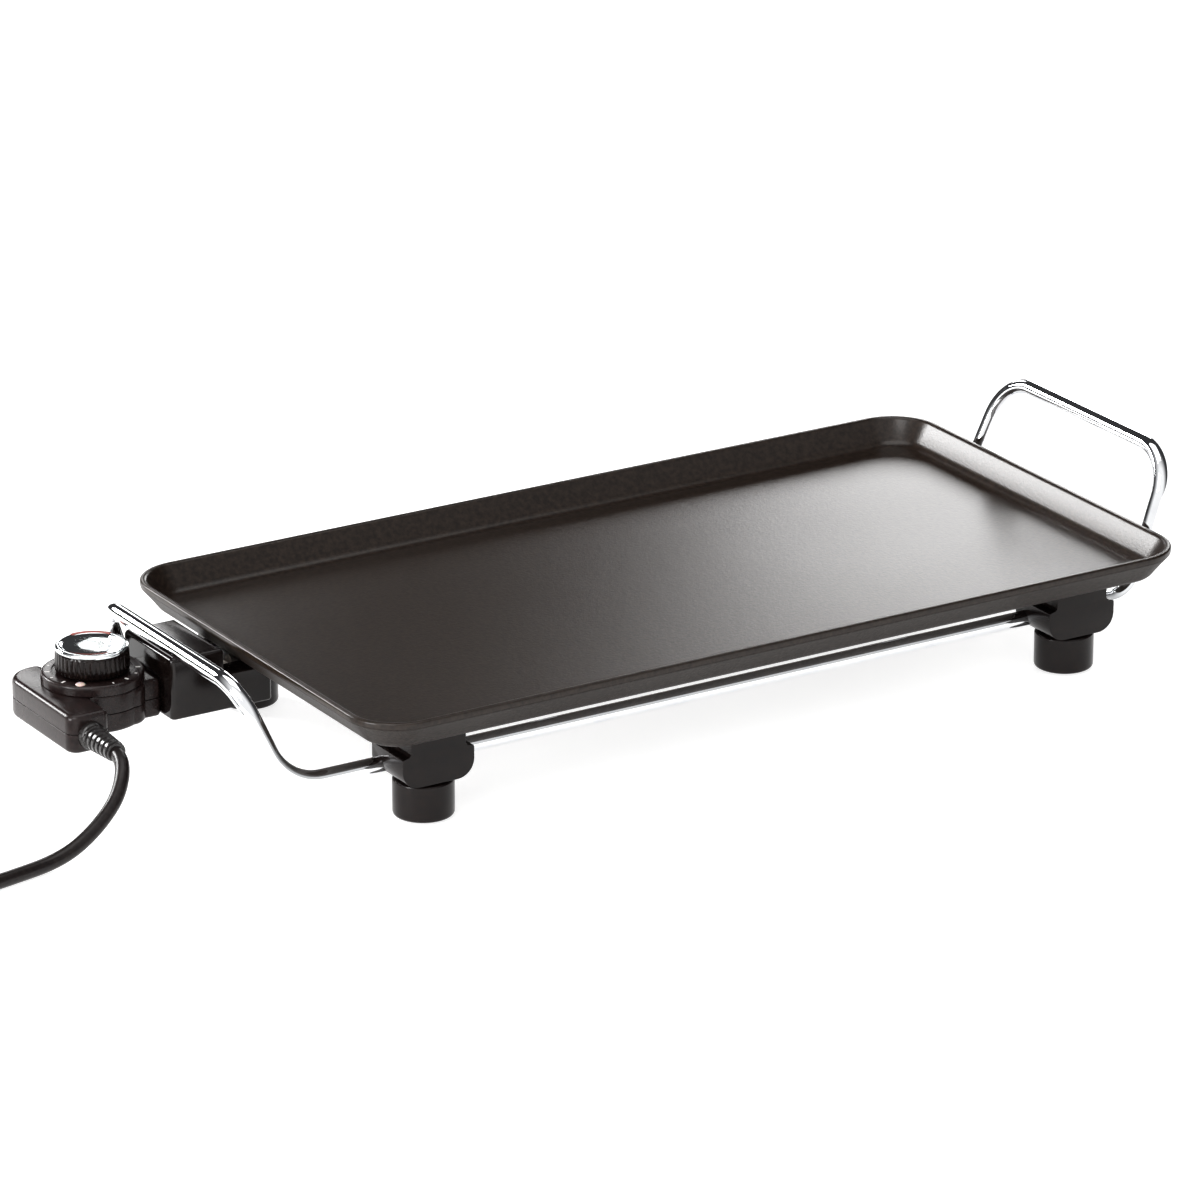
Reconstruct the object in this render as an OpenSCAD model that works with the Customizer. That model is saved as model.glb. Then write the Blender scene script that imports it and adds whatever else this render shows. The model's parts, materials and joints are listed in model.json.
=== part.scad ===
// Tabletop electric griddle: a cast non-stick plate on four legs, with chrome
// rod handles and a plug-in thermostat controller on a mains lead.
// Millimetres, +Z up, +X towards the end without the controller, -Y the front.
// The origin is on the table, under the middle of the griddle's own box.

/* [Plate] */
// Length of the cast plate over its rim
plate_l = 460; // [440:2:480]
// Width of the cast plate over its rim
plate_w = 248; // [240:2:270]
// Height of the rim above the table
rim_z = 64.5; // [64:0.5:68]
// Depth of the cooking tray below the rim
tray_depth = 12.5; // [10:0.5:14]
// Thickness of the cast floor
floor_t = 3.5; // [3:0.5:4]
// How far the walls lean outward from floor to rim
wall_flare = 9; // [7:0.5:10]
// Thickness of the rim
rim_t = 3.2; // [2.8:0.2:4]
// Corner radius of the rim, seen from above
corner_r = 26; // [24:1:32]

/* [Legs and feet] */
// Distance of a foot's axis from the plate's middle, lengthwise
leg_x = 182.5; // [180:0.5:185]
// Distance of a foot's axis from the plate's middle, crosswise
leg_y = 84.5; // [84:0.5:86]
// Length of a leg bracket along the plate
bracket_l = 38.4; // [37:0.2:40]
// Width of a leg bracket across the plate
bracket_w = 29; // [28:0.5:31]
// Height of a bracket's underside above the table
bracket_z = 20.5; // [20:0.5:21]
// Radius of a levelling foot
foot_r = 14.7; // [14:0.1:16]

/* [Rods] */
// Diameter of the chrome rod
rod_d = 8; // [7:0.5:8]
// Distance of the rods from the plate's centre line
rod_y = 76.5; // [76:0.5:76.5]
// Height of the rods above the table
rod_z = 26.5; // [26:0.5:27]
// Height of the left handle's bar
left_bar_z = 74.5; // [74:0.5:84]
// Height of the right handle's bar
right_bar_z = 93; // [84:0.5:98]

/* [Controller] */
// Distance of the controller's axis behind the plate's centre line
ctrl_y = 43.5; // [43:0.5:45]
// How far the controller's head reaches in front of its axis
head_front = 39.5; // [36:0.5:42]
// How far the controller's head reaches behind its axis
head_back = 31.5; // [30:0.5:36]
// Height of the controller's underside above the table
ctrl_z = 28; // [27.5:0.5:28]
// Thickness of the controller's case
ctrl_h = 19; // [18.5:0.5:19]
// Radius of the temperature knob
knob_r = 17.8; // [16:0.2:18]

/* [Lead] */
// Diameter of the mains lead
cord_d = 7; // [6.5:0.1:7]
// Radius of the stored coil's middle turn
coil_mid_r = 38; // [37:0.5:38]

/* [Hidden] */
$fn = 64;
eps = 0.01;

// Plate
half_l = plate_l / 2;
half_w = plate_w / 2;
corner_x = half_l - corner_r;
corner_y = half_w - corner_r;
tray_z = rim_z - tray_depth;
under_z = tray_z - floor_t;
boss_h = 2;
boss_w = 24;
outer_foot_u = corner_r - wall_flare;
inner_foot_u = outer_foot_u - 1.6;

// Rods and handles
rod_r = rod_d / 2;
rod_end_x = leg_x + 1.5;
left_bend_x = -half_l - 20.5;
left_bar_x = -half_l - 39.5;
left_bar_y = 65;
right_bend_x = half_l - 2.5;
right_bar_x = half_l + 24.5;
right_bar_y = 70.5;

// Controller
ctrl_top = ctrl_z + ctrl_h;
ctrl_mid = ctrl_z + ctrl_h / 2;
head_x0 = -half_l - 90.5;
head_x1 = -half_l - 70;
head_y0 = ctrl_y - head_front;
head_y1 = ctrl_y + head_back;
knob_x = -half_l - 58;
neck_x = -half_l - 30.5;
neck_w = 33;
nose_x = -half_l - 6;
nose_w = 27;
nose_z0 = ctrl_z + 3;
nose_z1 = ctrl_top - 2;
wall = 2;
edge = 1.5;
socket_r = 3.2;
bush_r = 5;
pin_gap = 9;
pin_z = ctrl_mid;
pin_r = 2;
probe_z = ctrl_mid;
probe_r = 3;
fit = 0.05;
collar_z = ctrl_top;
collar_h = 5.2;
collar_r = 24.5;
lens_r = 2.4;
lens_out = 21.2;
lens_turn = -133;
knob_z = collar_z + collar_h + 0.4;
knob_top = 65;
cap_t = 2;
shaft_r = 3;

// Socket housing
box_x0 = -half_l - 30;
box_x1 = -half_l + 24;
box_y0 = ctrl_y - 26.5;
box_y1 = ctrl_y + 22;
box_z0 = ctrl_z + 0.5;
box_z1 = rim_z - 5;
box_step_x = -half_l - 2;
box_low_z = under_z - boss_h;
bulkhead_x = -half_l - 4;

// Lead: the strain relief, the free run laid by hand, and the coil's place
boot_x = -half_l - 80;
boot_z = ctrl_mid - 1;
boot_l = 26;
boot_bore_r = 3.6;
boot_stub_r = 5;
cord_r = cord_d / 2;
lift = 0.8;
ROUTE = [[-310, 2, 36.5], [-310, -10, 36.5], [-310, -21, 36.3], [-312, -30.5, 34],
         [-316.5, -38, 29], [-322.8, -43.5, 22.8], [-331, -47, 16.5], [-340.5, -49.7, 10.8],
         [-351, -52, 6.4], [-363.5, -54.3, 4], [-379, -57.5, 3.6], [-397, -61, 3.6],
         [-415, -63.5, 3.8], [-434, -64.8, 4.1], [-452, -65, 4.3]];
coil_c = [-452, -20];
coil_in = coil_mid_r - cord_d - cord_r;
coil_out = coil_mid_r + cord_d + cord_r;
coil_h = cord_d + cord_d * 0.87;

// The griddle's own box runs from the controller's end to the right handle's bar
origin_x = -(head_x0 + right_bar_x + rod_r) / 2;

// ---------- helpers ----------

module place() {
    translate([origin_x, 0, 0]) children();
}

module at_legs() {
    for (sx = [-1, 1], sy = [-1, 1]) translate([sx * leg_x, sy * leg_y, 0]) children();
}

function arc(cx, cy, r, a0, a1, n) = [
    for (i = [0:n])
        let (a = a0 + (a1 - a0) * i / n)
        [cx + r * cos(a), cy + r * sin(a)]];

function unit(v) = v / norm(v);

// Places its children with their z axis along d and their x axis along u
module aligned(p, u, d) {
    v = cross(d, u);
    multmatrix([[u[0], v[0], d[0], p[0]],
                [u[1], v[1], d[1], p[1]],
                [u[2], v[2], d[2], p[2]],
                [0, 0, 0, 1]])
        children();
}

function side_of(d) = unit(abs(d[2]) < 0.9 ? cross([0, 0, 1], d) : cross([1, 0, 0], d));

// A rod of radius r along straight runs between points, with a bend of radius bends[i] at each inner point.
// The bends are a hair thicker than the runs, which reach a little way into them.
module bent_rod(points, bends, r) {
    lap = 0.5;
    n = len(points);
    dirs = [for (i = [0:n - 2]) unit(points[i + 1] - points[i])];
    turns = [for (i = [1:n - 2]) acos(dirs[i - 1] * dirs[i])];
    cuts = concat([0], [for (i = [0:n - 3]) bends[i] * tan(turns[i] / 2)], [0]);
    for (i = [0:n - 2]) {
        back = i > 0 ? lap : 0;
        ahead = i < n - 2 ? lap : 0;
        run = norm(points[i + 1] - points[i]) - cuts[i] - cuts[i + 1] + back + ahead;
        aligned(points[i] + dirs[i] * (cuts[i] - back), side_of(dirs[i]), dirs[i])
            rotate(37) cylinder(r = r, h = run);
    }
    for (i = [1:n - 2]) {
        axis = unit(cross(dirs[i - 1], dirs[i]));
        out = cross(dirs[i - 1], axis);
        start = points[i] - dirs[i - 1] * cuts[i];
        aligned(start - out * bends[i - 1], out, axis)
            rotate_extrude(angle = turns[i - 1]) translate([bends[i - 1], 0]) circle(r + 0.04);
    }
}

// ---------- plate and heating ----------

// Solid with the tray's rounded plan: the profile is [outward distance from the corner centres, height]
module tray_solid(profile) {
    last = len(profile) - 1;
    z0 = profile[0][1];
    z1 = profile[last][1];
    for (sx = [-1, 1], sy = [-1, 1])
        translate([sx * corner_x, sy * corner_y, 0])
            rotate_extrude() polygon(concat([[0, z0]], profile, [[0, z1]]));
    rotate([90, 0, 90]) linear_extrude(2 * corner_x, center = true) tray_section(profile, corner_y);
    rotate([90, 0, 0]) linear_extrude(2 * corner_y, center = true) tray_section(profile, corner_x);
}

// The profile and its mirror image, each moved out by half
module tray_section(profile, half) {
    polygon(concat([for (p = profile) [half + p[0], p[1]]],
                   [for (i = [len(profile) - 1:-1:0]) [-half - profile[i][0], profile[i][1]]]));
}

module griddle_plate() {
    outer = [[outer_foot_u - 2.5, under_z], [outer_foot_u - 0.8, under_z + 0.6],
             [outer_foot_u, under_z + 1.8], [corner_r - 0.8, rim_z - 4],
             [corner_r, rim_z - 2.6], [corner_r, rim_z - 0.8], [corner_r - 0.8, rim_z]];
    inner = [[inner_foot_u - 4.5, tray_z], [inner_foot_u - 2.2, tray_z + 0.5],
             [inner_foot_u - 0.6, tray_z + 1.8], [corner_r - rim_t - 0.6, rim_z - 0.8],
             [corner_r - rim_t + 0.3, rim_z + eps]];
    color([0.16, 0.13, 0.12]) place() difference() {
        union() {
            tray_solid(outer);
            at_legs() translate([-neck_half, -boss_w / 2, under_z - boss_h])
                cube([2 * neck_half, boss_w, boss_h + eps]);
            at_housing_screws() translate([0, 0, under_z - boss_h]) cylinder(r = 4.5, h = boss_h + eps);
        }
        tray_solid(inner);
        at_bracket_screws() translate([0, 0, under_z - 3]) cylinder(r = bracket_screw_r + fit, h = 5);
        at_housing_screws() translate([0, 0, under_z - 3]) cylinder(r = housing_screw_r + fit, h = 5);
    }
}

element_r = 3.5;
element_z = under_z - element_r - 0.1;
element_y = ctrl_y + pin_gap;
element_x0 = -half_l + 10;

module heating_element() {
    color([0.45, 0.43, 0.42]) place() bent_rod(
        [[element_x0, element_y, element_z], [leg_x + 8, element_y, element_z],
         [leg_x + 8, -element_y, element_z], [-leg_x - 10, -element_y, element_z],
         [-leg_x - 10, ctrl_y - pin_gap, element_z], [element_x0, ctrl_y - pin_gap, element_z]],
        [18, 18, 18, 12], element_r);
}

module element_clips() {
    color([0.7, 0.7, 0.72]) place() for (sx = [-1, 1], sy = [-1, 1])
        translate([sx * 100, sy * element_y, 0]) difference() {
            translate([-6, -9, element_z - 4.8]) cube([12, 18, under_z - element_z + 4.8]);
            translate([0, 0, element_z])
                rotate([0, 90, 0]) cylinder(r = element_r + fit, h = 20, center = true);
        }
}

sleeve_x = bulkhead_x + 13.5;
block_w = 28;

module probe_sleeve() {
    color([0.62, 0.62, 0.63]) place() difference() {
        translate([sleeve_x, ctrl_y - 4.6, probe_z - 4.6]) cube([42, 9.2, under_z - probe_z + 4.6]);
        translate([sleeve_x - 1, ctrl_y, probe_z]) rotate([0, 90, 0]) cylinder(r = probe_r + 0.3, h = 40);
    }
}

module terminal_block() {
    color([0.9, 0.88, 0.84]) place() difference() {
        translate([bulkhead_x + 2, ctrl_y - block_w / 2, box_z0 + 4]) cube([11, block_w, 12.5]);
        translate([bulkhead_x, ctrl_y, probe_z]) rotate([0, 90, 0]) cylinder(r = probe_r + 0.4, h = 20);
        for (s = [-1, 1]) translate([bulkhead_x, ctrl_y + s * pin_gap, pin_z])
            rotate([0, 90, 0]) cylinder(r = pin_r + fit, h = 20);
    }
}

module terminal_pins() {
    color([0.85, 0.83, 0.78]) place() for (s = [-1, 1])
        translate([bulkhead_x - 17, ctrl_y + s * pin_gap, pin_z]) rotate([0, 90, 0]) {
            cylinder(r1 = pin_r - 0.8, r2 = pin_r, h = 1.5);
            translate([0, 0, 1.5]) cylinder(r = pin_r, h = 28);
        }
}

module socket_housing() {
    color([0.05, 0.05, 0.05]) place() difference() {
        union() {
            translate([box_x0, box_y0, box_z0])
                cube([box_step_x - box_x0, box_y1 - box_y0, box_z1 - box_z0]);
            translate([box_step_x - 1, box_y0, box_z0])
                cube([box_x1 - box_step_x + 1, box_y1 - box_y0, box_low_z - box_z0]);
        }
        translate([box_x0 - 1, ctrl_y - nose_w / 2 - 0.5, nose_z0 - 0.5])
            cube([bulkhead_x - box_x0 + 1, nose_w + 1, nose_z1 - nose_z0 + 1]);
        translate([box_step_x, ctrl_y - block_w / 2 - fit, box_z0 + 4])
            cube([box_x1 - box_step_x + 1, block_w + 2 * fit, box_low_z]);
        translate([bulkhead_x - 1, ctrl_y, probe_z]) rotate([0, 90, 0]) cylinder(r = probe_r + 0.4, h = 4);
        for (s = [-1, 1]) translate([bulkhead_x - 1, ctrl_y + s * pin_gap, pin_z])
            rotate([0, 90, 0]) cylinder(r = pin_r + fit, h = 4);
        at_housing_screws() {
            translate([0, 0, box_z0 - 1]) cylinder(r = 3.4, h = 9);
            translate([0, 0, box_z0]) cylinder(r = 1.8, h = 30);
        }
    }
}

housing_screw_r = 1.75;
housing_screw_y = 17.9;

module at_housing_screws() {
    for (s = [-1, 1]) translate([box_x1 - 6, ctrl_y + s * housing_screw_y, 0]) children();
}

module housing_screws() {
    color([0.6, 0.6, 0.6]) place() at_housing_screws() {
        translate([0, 0, box_z0 + 5.8]) cylinder(r = 3.2, h = 2.2);
        translate([0, 0, box_z0 + 7]) cylinder(r = housing_screw_r, h = under_z - box_z0 - 7);
    }
}

// ---------- legs ----------

bracket_screw_r = 2;
bracket_screw_x = 10.5;
bracket_screw_y = leg_y + 8;

module at_bracket_screws() {
    for (sx = [-1, 1], sy = [-1, 1], s = [-1, 1])
        translate([sx * leg_x + s * bracket_screw_x, sy * bracket_screw_y, 0]) children();
}

bracket_top = under_z - boss_h;
shoulder_z = bracket_z + 15.5;
neck_half = bracket_l / 2 - 4.5;
insert_r = 3.6;
stud_r = 2.5;
pad_r = 11.5;

module leg_bracket(sx, sy) {
    h = bracket_l / 2;
    low_r = 9;
    neck_right = [[neck_half + 1, shoulder_z + 0.6], [neck_half, shoulder_z + 1.8],
                  [neck_half, bracket_top]];
    neck_left = [for (i = [2:-1:0]) [-neck_right[i][0], neck_right[i][1]]];
    front = concat(arc(h - low_r, bracket_z + low_r, low_r, -90, 0, 8),
                   arc(h - 1, shoulder_z - 1, 1, 0, 90, 3), neck_right, neck_left,
                   arc(-h + 1, shoulder_z - 1, 1, 90, 180, 3),
                   arc(-h + low_r, bracket_z + low_r, low_r, 180, 270, 8));
    color([0.05, 0.05, 0.05]) place() difference() {
        translate([sx * leg_x, sy * leg_y + bracket_w / 2, 0])
            rotate([90, 0, 0]) linear_extrude(bracket_w) polygon(front);
        translate([sx * leg_x - h - 1, sy * rod_y, rod_z])
            rotate([0, 90, 0]) cylinder(r = rod_r + fit, h = 2 * h + 2);
        translate([sx * leg_x, sy * leg_y, bracket_z - 1]) cylinder(r = insert_r + fit, h = 21.5);
        translate([sx * leg_x, sy * leg_y, bracket_z + 20]) cylinder(r = 3.2, h = 4);
        at_bracket_screws() {
            translate([0, 0, bracket_z - 1]) cylinder(r = 4, h = 13.5);
            translate([0, 0, bracket_z]) cylinder(r = 2.1, h = 30);
        }
    }
}

module bracket_screws() {
    color([0.6, 0.6, 0.6]) place() at_bracket_screws() {
        translate([0, 0, bracket_z + 9.8]) cylinder(r = 3.6, h = 2.7);
        translate([0, 0, bracket_z + 12]) cylinder(r = bracket_screw_r, h = under_z + 1.6 - bracket_z - 12);
    }
}

module threaded_inserts() {
    color([0.78, 0.62, 0.3]) place() at_legs() difference() {
        translate([0, 0, bracket_z]) cylinder(r = insert_r, h = 20);
        translate([0, 0, bracket_z - 1]) cylinder(r = stud_r + fit, h = 22);
    }
}

module foot_stud(sx, sy) {
    color([0.7, 0.7, 0.72]) place() translate([sx * leg_x, sy * leg_y, 0]) {
        translate([0, 0, 5]) cylinder(r = 5, h = 3);
        translate([0, 0, 8 - eps]) cylinder(r = stud_r, h = 32);
    }
}

module foot_knob(sx, sy) {
    top = bracket_z - 0.4;
    low = 1.2;
    high = 1.4;
    color([0.05, 0.05, 0.05]) place() translate([sx * leg_x, sy * leg_y, 0]) difference() {
        union() {
            translate([0, 0, 1]) cylinder(r1 = foot_r - low, r2 = foot_r, h = low);
            translate([0, 0, 1 + low]) cylinder(r = foot_r, h = top - 1 - low - high);
            translate([0, 0, top - high]) cylinder(r1 = foot_r, r2 = foot_r - high, h = high);
        }
        cylinder(r = pad_r + fit, h = 2.5);
        translate([0, 0, 2]) cylinder(r = 5.3, h = 6.3);
        translate([0, 0, 8]) cylinder(r = stud_r + fit, h = top);
    }
}

module foot_pad(sx, sy) {
    color([0.12, 0.12, 0.12]) place() translate([sx * leg_x, sy * leg_y, 0]) cylinder(r = pad_r, h = 2.4);
}

// ---------- rods ----------

module left_handle() {
    color([0.85, 0.85, 0.87]) place() bent_rod(
        [[-rod_end_x, -rod_y, rod_z], [left_bend_x, -rod_y, rod_z],
         [left_bar_x, -left_bar_y, left_bar_z], [left_bar_x, left_bar_y, left_bar_z],
         [left_bend_x, rod_y, rod_z], [-rod_end_x, rod_y, rod_z]],
        [26, 20, 20, 26], rod_r);
}

module right_handle() {
    color([0.85, 0.85, 0.87]) place() bent_rod(
        [[rod_end_x, -rod_y, rod_z], [right_bend_x, -rod_y, rod_z],
         [right_bar_x, -right_bar_y, right_bar_z], [right_bar_x, right_bar_y, right_bar_z],
         [right_bend_x, rod_y, rod_z], [rod_end_x, rod_y, rod_z]],
        [18, 24, 24, 18], rod_r);
}

module side_rod(sy) {
    reach = leg_x - 1.5;
    color([0.85, 0.85, 0.87]) place() translate([-reach, sy * rod_y, rod_z])
        rotate([0, 90, 0]) cylinder(r = rod_r, h = 2 * reach);
}

// ---------- controller ----------

// The case seen from above, drawn in by t
module case_plan(t) {
    big = 15;
    mid = 4;
    small = 3;
    polygon(concat(arc(head_x1 - mid, head_y1 - mid, mid - t, 0, 90, 4),
                   arc(head_x0 + big, head_y1 - big, big - t, 90, 180, 8),
                   arc(head_x0 + small, head_y0 + small, small - t, 180, 270, 4),
                   arc(head_x1 - small, head_y0 + small, small - t, 270, 360, 4)));
    translate([knob_x, ctrl_y]) circle(r = collar_r - 0.5 - t);
    translate([knob_x, ctrl_y - neck_w / 2 + t]) square([neck_x - t - knob_x, neck_w - 2 * t]);
}

module nose(z0, z1) {
    translate([neck_x - 4, ctrl_y - nose_w / 2, z0]) cube([nose_x - neck_x + 4, nose_w, z1 - z0]);
}

module case_holes() {
    for (s = [-1, 1]) translate([neck_x - 5, ctrl_y + s * pin_gap, pin_z])
        rotate([0, 90, 0]) cylinder(r = socket_r + fit, h = 40);
    translate([neck_x - 5, ctrl_y, probe_z]) rotate([0, 90, 0]) cylinder(r = probe_r + fit, h = 40);
    translate([boot_x, head_y0 + 5, boot_z]) rotate([90, 0, 0]) cylinder(r = boot_stub_r + fit, h = 10);
}

module controller_lower_shell() {
    color([0.07, 0.06, 0.06]) place() difference() {
        union() {
            translate([0, 0, ctrl_z + edge]) linear_extrude(ctrl_mid - ctrl_z - edge) case_plan(0);
            translate([0, 0, ctrl_z]) linear_extrude(edge) case_plan(edge);
            nose(nose_z0, ctrl_mid);
        }
        translate([0, 0, ctrl_z + wall]) linear_extrude(ctrl_h) case_plan(wall);
        case_holes();
        at_shell_screws() {
            translate([0, 0, ctrl_z - 1]) cylinder(r = 2.8, h = 2);
            translate([0, 0, ctrl_z - 1]) cylinder(r = 1.4, h = 20);
        }
    }
}

module controller_upper_shell() {
    color([0.07, 0.06, 0.06]) place() difference() {
        union() {
            translate([0, 0, ctrl_mid]) linear_extrude(ctrl_top - ctrl_mid - edge) case_plan(0);
            translate([0, 0, ctrl_top - edge]) linear_extrude(edge) case_plan(edge);
            nose(ctrl_mid, nose_z1);
        }
        translate([0, 0, ctrl_mid - 1]) linear_extrude(ctrl_top - wall - ctrl_mid + 1) case_plan(wall);
        case_holes();
        translate([knob_x, ctrl_y, ctrl_top - 5]) cylinder(r = bush_r + fit, h = 10);
    }
}

module at_shell_screws() {
    translate([boot_x, head_y1 - 14, 0]) children();
    translate([neck_x - 10, ctrl_y - 11, 0]) children();
    translate([neck_x - 10, ctrl_y + 11, 0]) children();
}

module shell_screws() {
    color([0.6, 0.6, 0.6]) place() at_shell_screws() {
        translate([0, 0, ctrl_z + 0.2]) cylinder(r = 2.6, h = 0.8);
        translate([0, 0, ctrl_z + 0.9]) cylinder(r = 1.35, h = ctrl_h - wall - 1);
    }
}

module thermostat_switch() {
    color([0.75, 0.72, 0.66]) place() difference() {
        translate([knob_x - 13, ctrl_y - 12, ctrl_z + wall]) cube([26, 24, ctrl_h - 2 * wall - 0.4]);
        translate([knob_x, ctrl_y, ctrl_z + 6]) cylinder(r = shaft_r + 0.6, h = 20);
        translate([knob_x + 7, ctrl_y, probe_z]) rotate([0, 90, 0]) cylinder(r = probe_r + fit, h = 20);
    }
}

module temperature_probe() {
    tip_x = nose_x + 48;
    color([0.8, 0.8, 0.82]) place() {
        translate([knob_x + 8, ctrl_y, probe_z])
            rotate([0, 90, 0]) cylinder(r = probe_r, h = tip_x - probe_r - knob_x - 8);
        translate([tip_x - probe_r, ctrl_y, probe_z]) sphere(r = probe_r);
    }
}

module contact_sockets() {
    color([0.8, 0.66, 0.35]) place() for (s = [-1, 1])
        translate([neck_x + 1, ctrl_y + s * pin_gap, pin_z]) rotate([0, 90, 0]) difference() {
            cylinder(r = socket_r, h = nose_x - neck_x - 1.5);
            translate([0, 0, -1]) cylinder(r = pin_r + 0.08, h = 40);
        }
}

module shaft_bush() {
    color([0.78, 0.62, 0.3]) place() translate([knob_x, ctrl_y, ctrl_top - wall - 0.3]) difference() {
        cylinder(r = bush_r, h = wall + 3);
        translate([0, 0, -1]) cylinder(r = shaft_r + fit, h = 10);
    }
}

module dial_collar() {
    color([0.07, 0.05, 0.05]) place() translate([knob_x, ctrl_y, collar_z]) difference() {
        union() {
            cylinder(r = collar_r, h = collar_h - 1.2);
            translate([0, 0, collar_h - 1.2]) cylinder(r1 = collar_r, r2 = collar_r - 1.2, h = 1.2);
        }
        translate([0, 0, -1]) cylinder(r = bush_r + 0.3, h = collar_h + 2);
        rotate(lens_turn) translate([lens_out, 0, -1]) cylinder(r = lens_r + fit, h = collar_h + 2);
    }
}

module pilot_lens() {
    straight = collar_h + 0.4;
    color([1.0, 0.55, 0.45]) place() translate([knob_x, ctrl_y, collar_z])
        rotate(lens_turn) translate([lens_out, 0, 0]) {
            cylinder(r = lens_r, h = straight);
            translate([0, 0, straight]) cylinder(r1 = lens_r, r2 = 1.6, h = 0.6);
        }
}

module knob_shaft() {
    color([0.75, 0.75, 0.77]) place() translate([knob_x, ctrl_y, ctrl_z + 7])
        cylinder(r = shaft_r, h = knob_top - ctrl_z - 12);
}

module control_knob() {
    h = knob_top - cap_t - knob_z;
    color([0.05, 0.05, 0.06]) place() translate([knob_x, ctrl_y, knob_z]) difference() {
        cylinder(r = knob_r, h = h);
        translate([0, 0, -1]) cylinder(r = shaft_r + fit, h = knob_top - knob_z - 3.8);
        for (a = [0:12:348]) rotate(a) translate([knob_r + 0.45, 0, -1]) cylinder(r = 0.9, h = h + 2);
    }
}

module knob_cap() {
    color([0.88, 0.9, 0.9]) place() translate([knob_x, ctrl_y, knob_top - cap_t]) {
        cylinder(r = knob_r, h = cap_t - 0.8);
        translate([0, 0, cap_t - 0.8]) cylinder(r1 = knob_r, r2 = knob_r - 0.8, h = 0.8);
    }
}

// ---------- lead ----------

module strain_relief() {
    color([0.1, 0.1, 0.1]) place() translate([boot_x, head_y0, boot_z]) rotate([90, 0, 0]) difference() {
        union() {
            translate([0, 0, -2]) cylinder(r = boot_stub_r, h = 3);
            cylinder(r = 6.8, h = 3);
            translate([0, 0, 3 - eps]) cylinder(r1 = 6.2, r2 = 4.8, h = boot_l - 3);
        }
        translate([0, 0, -3]) cylinder(r = boot_bore_r, h = boot_l + 4);
    }
}

// Rings of a tube: each ring's frame follows the route's own direction
function route_dir(pts, i) = unit(pts[min(i + 1, len(pts) - 1)] - pts[max(i - 1, 0)]);
function ring(p, d, r, n) = let (u = side_of(d), v = cross(d, u))
    [for (k = [0:n - 1]) p + r * (cos(360 * k / n) * u + sin(360 * k / n) * v)];

// Catmull-Rom points between the hand-laid ones
function spline(pts, m) = concat([for (i = [0:len(pts) - 2], j = [0:m - 1]) let (
        a = pts[max(i - 1, 0)], b = pts[i], c = pts[i + 1], d = pts[min(i + 2, len(pts) - 1)], t = j / m)
    0.5 * (2 * b + (c - a) * t + (2 * a - 5 * b + 4 * c - d) * pow(t, 2) + (3 * b - 3 * c + d - a) * pow(t, 3))],
    [pts[len(pts) - 1]]);

module tube(pts, r, n) {
    m = len(pts);
    verts = [for (i = [0:m - 1]) each ring(pts[i], route_dir(pts, i), r, n)];
    sides = [for (i = [0:m - 2], k = [0:n - 1])
        let (a = i * n, b = a + n, next = (k + 1) % n)
        [a + k, a + next, b + next, b + k]];
    polyhedron(verts, concat([[for (k = [n - 1:-1:0]) k]], sides, [[for (k = [0:n - 1]) (m - 1) * n + k]]));
}

tail_x = coil_c[0] - coil_mid_r - cord_d;
plug_back = [tail_x, coil_c[1] + 46, 12.9];
TAIL = [[tail_x, coil_c[1], 10.4], [tail_x, coil_c[1] + 12, 10.3], [tail_x, coil_c[1] + 24, 10.7],
        [tail_x, coil_c[1] + 36, 11.7], plug_back];
plug_tilt = 7;
plug_pin_r = 2.4;
plug_pin_l = 17;

module power_cord() {
    color([0.08, 0.07, 0.07]) place() {
        tube(spline(ROUTE, 2), cord_r, 10);
        tube(TAIL, cord_r, 10);
    }
}

module cord_coil() {
    color([0.08, 0.07, 0.07]) place() translate([coil_c[0], coil_c[1], lift])
        rotate_extrude() translate([coil_in, 0]) square([coil_out - coil_in, coil_h]);
}

module coil_tie() {
    w = coil_out - coil_in;
    color([0.2, 0.2, 0.2]) place() translate([coil_c[0] + coil_mid_r, coil_c[1], 0]) difference() {
        translate([-w / 2 - 2, -5, 0]) cube([w + 3.4, 10, coil_h + lift + 1]);
        translate([-w / 2 - 0.9, -6, lift - 0.2]) cube([w + 1.1, 12, coil_h + 0.4]);
    }
}

module plug_body() {
    color([0.08, 0.08, 0.08]) place() translate(plug_back) rotate([-90 + plug_tilt, 0, 0]) difference() {
        union() {
            cylinder(r1 = 5, r2 = 6.5, h = 18);
            translate([0, 0, 18]) cylinder(r1 = 6.5, r2 = 16, h = 8);
            translate([0, 0, 26]) cylinder(r1 = 16, r2 = 18.4, h = 20);
        }
        translate([0, 0, -1]) cylinder(r = cord_r + 0.05, h = 8);
        translate([0, 0, 38]) cylinder(r = 2.45, h = 20);
    }
}

module plug_pins() {
    color([0.8, 0.8, 0.82]) place() translate(plug_back) rotate([-90 + plug_tilt, 0, 0])
        for (s = [-1, 1]) translate([s * 9.5, 0, 46]) {
            cylinder(r = plug_pin_r, h = plug_pin_l);
            translate([0, 0, plug_pin_l]) sphere(r = plug_pin_r);
        }
}

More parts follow.
